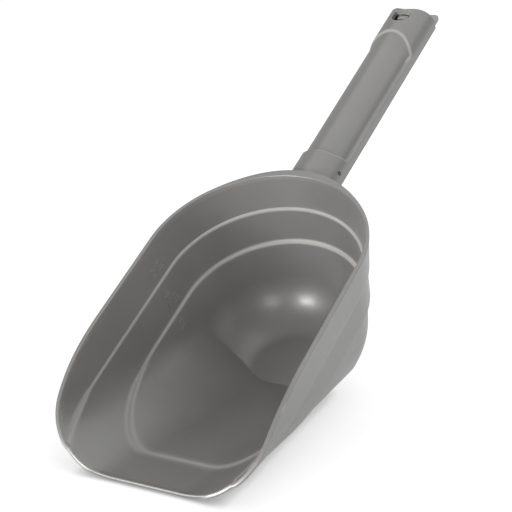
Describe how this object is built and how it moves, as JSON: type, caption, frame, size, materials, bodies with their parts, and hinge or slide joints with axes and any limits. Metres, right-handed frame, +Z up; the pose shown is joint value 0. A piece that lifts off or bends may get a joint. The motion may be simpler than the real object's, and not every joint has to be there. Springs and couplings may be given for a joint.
{
  "type": "food scoop with bag clip",
  "caption": "Deep plastic scoop with stepped fill lines, a dipped lip and a hollow handle that holds a hinged bag-clip lever.",
  "frame": {"origin": "on the flat underside of the bowl's sloping floor, in the mirror plane, below the middle of the rim's round back", "axes": "+Z up from the resting surface, +Y towards the handle, +X to the right when seen from the lip"},
  "size_m": [0.1076, 0.2796, 0.1606],
  "materials": {
    "scoop_plastic": "satin moulded polypropylene, warm grey",
    "clip_plastic": "satin moulded polypropylene, warm grey",
    "pin_steel": "plain drawn steel"
  },
  "bodies": {
    "scoop": {"scoop_body": "scoop_plastic", "hinge_pin": "pin_steel"},
    "clip": {"clip_lever": "clip_plastic"}
  },
  "joints": [
    {"name": "clip_hinge", "type": "hinge", "parent": "scoop", "child": "clip", "pos_m": [0, 0.06596, 0.09671], "axis": [-1, 0, 0], "range_deg": [0, 65]}
  ]
}
